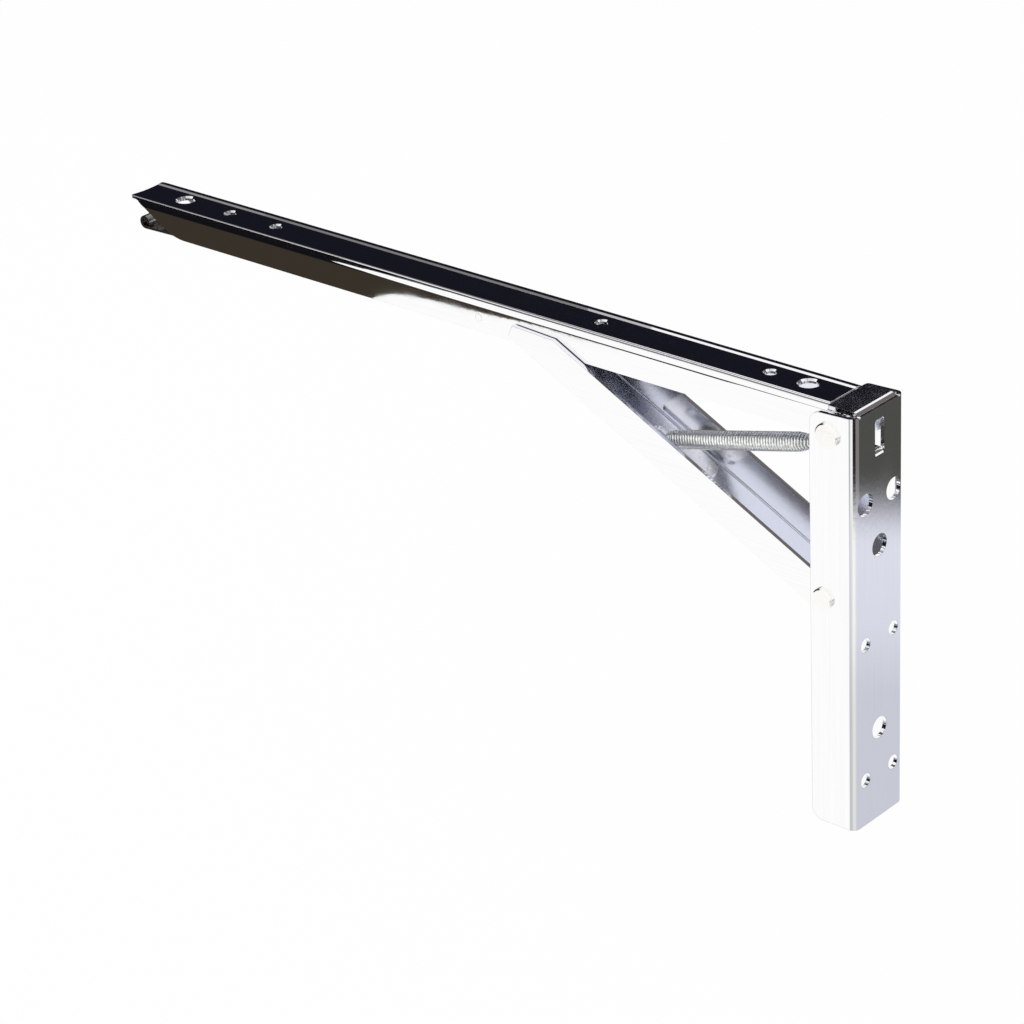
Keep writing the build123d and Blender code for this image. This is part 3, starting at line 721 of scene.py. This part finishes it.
# a tone for each bearing in degrees, close to the leg and far from it, and for each reach in metres
NEAR_SECTORS = ((78.0, CHALK), (84.0, SMOKE), (106.0, SMOKE), (120.0, ASH), (130.0, CHALK),
                (150.0, CHALK), (165.0, CREAM), (180.0, PALE_FAR), (315.0, PALE_FAR))
FAR_SECTORS = ((78.0, CHALK), (84.0, SLATE), (93.0, DEEP_SLATE), (99.0, CREAM), (127.0, CHALK),
               (133.0, SOOT), (166.0, SOOT), (172.0, UMBER), (216.0, DEEP_UMBER), (226.0, OLIVE),
               (315.0, OLIVE))
NEAR_REACHES = ((0.30, PALE_NEAR), (0.49, PALE_NEAR), (0.5625, PALE_MID), (0.645, PALE_FAR),
                (1.3, PALE_FAR))
NEAR_ENDS, BLEND_WIDTH = 0.655, 0.085   # where the pale ring ends, and how far it runs out


def tone_at(place, stops):
    """The tone between the two stops on either side of a place."""
    for (start, first), (end, last) in zip(stops, stops[1:]):
        if place <= end:
            share = (place - start) / (end - start)
            return Vector(first).lerp(Vector(last), max(share, 0.0))
    return Vector(stops[-1][1])


def ring_tone(reach, bearing):
    """Pale near the leg, fading inward, and the far sectors' tone beyond the blend."""
    outward = min(max((reach - NEAR_ENDS) / BLEND_WIDTH, 0.0), 1.0)
    outward = outward * outward * (3.0 - 2.0 * outward)
    pale = Vector(PALE_FAR)
    fading = tone_at(reach, NEAR_REACHES)
    near = tone_at(bearing, NEAR_SECTORS) * pale.dot(fading) / pale.length_squared
    return near.lerp(tone_at(bearing, FAR_SECTORS), outward)


print("tone of the ring beside the leg:", [round(level, 2) for level in ring_tone(0.5, 200.0)])


# %% [markdown]
# ## Laying and painting the ring
#
# The grid is finest where the pale part runs out into the dark sectors, and coarse elsewhere.  A
# colour attribute holds the tones, and the card's own glow reads it by name.

# %% The ring round the leg
RING_CENTRE = (0.001, 0.013)
RING_REACHES = [0.30, 0.40] + [0.46 + 0.015 * step for step in range(21)] + [0.85, 1.3]
RING_BEARINGS = [78.0 + 1.5 * step for step in range(159)]
verts, tones = [], []
for reach in RING_REACHES:
    for bearing in RING_BEARINGS:
        angle = math.radians(bearing)
        verts.append((RING_CENTRE[0] + reach * math.cos(angle),
                      RING_CENTRE[1] + reach * math.sin(angle), CARD_LEVEL))
        tones.append(ring_tone(reach, bearing))
width = len(RING_BEARINGS)
faces = []
for row in range(len(RING_REACHES) - 1):
    for corner in range(row * width, row * width + width - 1):
        faces.append((corner, corner + 1, corner + width + 1, corner + width))
ring = card("leg_ring", verts, (1.0, 1.0, 1.0), faces)
paint = ring.data.color_attributes.new("tone", "FLOAT_COLOR", "POINT")
for index, tone in enumerate(tones):
    paint.data[index].color = (*tone, 1.0)
tree = ring.data.materials[0].node_tree
painted = add(tree, "ShaderNodeAttribute", attribute_name="tone")
glow = next(node for node in tree.nodes if node.type == "EMISSION")
wire(tree, painted.outputs["Color"], glow.inputs["Color"])
print("ring grid:", len(verts), "points and", len(faces), "faces")


# %% [markdown]
# ## What the head of the leg sees
#
# The fold at the head of the leg turns from the wall side to the top tab.  It looks over the
# shoulder, at a warm grey card behind the wall plane.

# %% Card for the head of the leg
WING_TONE = (0.15, 0.135, 0.13)
sky_card("wall_side_wing", bearing=-112.0, low=10.0, high=60.0, half_width=28.0, distance=1.5,
         tone=WING_TONE)


# %% [markdown]
# ## The room
#
# Metal shows its surround more than the lamps, so the surround is white all round and falls gently
# to grey overhead, as in a studio with a low ceiling.  The camera itself sees plain white behind the
# bracket.

# %% World
WHITE = (1.0, 1.0, 1.0)
CEILING = (0.62, 0.63, 0.68)
CEILING_FROM, CEILING_TO = 0.75, 0.97       # upness of the gaze where the grey begins and ends
world = bpy.data.worlds.new("studio")
bpy.context.scene.world = world
world.use_nodes = True
tree = world.node_tree
tree.nodes.clear()
gaze = add(tree, "ShaderNodeSeparateXYZ")
wire(tree, add(tree, "ShaderNodeTexCoord").outputs["Generated"], gaze.inputs[0])
upness = spread(tree, gaze.outputs["Z"], CEILING_FROM, CEILING_TO, 0.0, 1.0)
room = add(tree, "ShaderNodeBackground")
wire(tree, mixed(tree, upness, WHITE, CEILING), room.inputs["Color"])
plain = add(tree, "ShaderNodeBackground")
plain.inputs["Color"].default_value = (*WHITE, 1.0)
for backdrop in (room, plain):
    backdrop.inputs["Strength"].default_value = 1.0
pick = add(tree, "ShaderNodeMixShader")
wire(tree, add(tree, "ShaderNodeLightPath").outputs["Is Camera Ray"], pick.inputs["Fac"])
wire(tree, room.outputs["Background"], pick.inputs[1])
wire(tree, plain.outputs["Background"], pick.inputs[2])
wire(tree, pick.outputs["Shader"], add(tree, "ShaderNodeOutputWorld").inputs["Surface"])
print("room: white to", CEILING, "overhead")


# %% [markdown]
# ## Lamps
#
# Two broad soft lamps stand over the two shoulders.  They are weak, because the room gives most of
# the light; they only lay a soft shadow on the floor.  The key lamp is kept out of the reflections,
# where its square would stand inside the brace.

# %% Lamps
LAMP_AIM = (0.17, 0.0, 0.0)


def soft_lamp(name, place, size, watts):
    """A large square lamp that looks at the bracket."""
    lamp = bpy.data.lights.new(name, "AREA")
    lamp.size = size
    lamp.energy = watts
    holder = bpy.data.objects.new(name, lamp)
    holder.location = place
    holder.rotation_euler = (Vector(LAMP_AIM) - Vector(place)).to_track_quat("-Z", "Y").to_euler()
    bpy.context.scene.collection.objects.link(holder)
    print(name, "of", watts, "W and", size, "m")
    return holder


key_lamp = soft_lamp("key_lamp", (-0.6, 1.6, 1.6), 1.4, 8.0)
key_lamp.visible_glossy = False
soft_lamp("fill_lamp", (1.7, -0.2, 1.5), 1.2, 4.0)


# %% [markdown]
# ## Camera
#
# The camera looks down from behind the wall plane, over the leg and along the arm, through a long
# lens, and it is tipped a little on its side.  Its axes are worked out from three angles, because a
# track-to constraint could not hold the tip.

# %% Camera
BEARING = math.radians(42.3249)
HEIGHT = math.radians(26.1247)
TIP = math.radians(-2.8793)
CAMERA_PLACE = (-0.617262, 0.860257, 0.561928)
SENSOR = 36.0                   # mm
FRAMES_LONG = 3508.83 / 1024    # focal length over the width of the frame
backward = Vector((-math.sin(BEARING) * math.cos(HEIGHT), math.cos(BEARING) * math.cos(HEIGHT),
                   math.sin(HEIGHT)))
level_right = (-backward).cross(Vector((0.0, 0.0, 1.0))).normalized()
level_up = level_right.cross(-backward)
right = math.cos(TIP) * level_right + math.sin(TIP) * level_up
up = -math.sin(TIP) * level_right + math.cos(TIP) * level_up
lens = bpy.data.cameras.new("portrait_camera")
lens.sensor_width = SENSOR
lens.lens = FRAMES_LONG * SENSOR
lens.clip_start = 0.05
camera = bpy.data.objects.new("portrait_camera", lens)
turned = Matrix((right, up, backward)).transposed().to_4x4()
camera.matrix_world = Matrix.Translation(CAMERA_PLACE) @ turned
bpy.context.scene.collection.objects.link(camera)
bpy.context.scene.camera = camera
bpy.context.scene.view_settings.view_transform = "Standard"
print("lens", round(lens.lens, 1), "mm")


# %% [markdown]
# ## Finish
#
# Last the scene is brought up to date.

# %% Finish
bpy.context.view_layer.update()
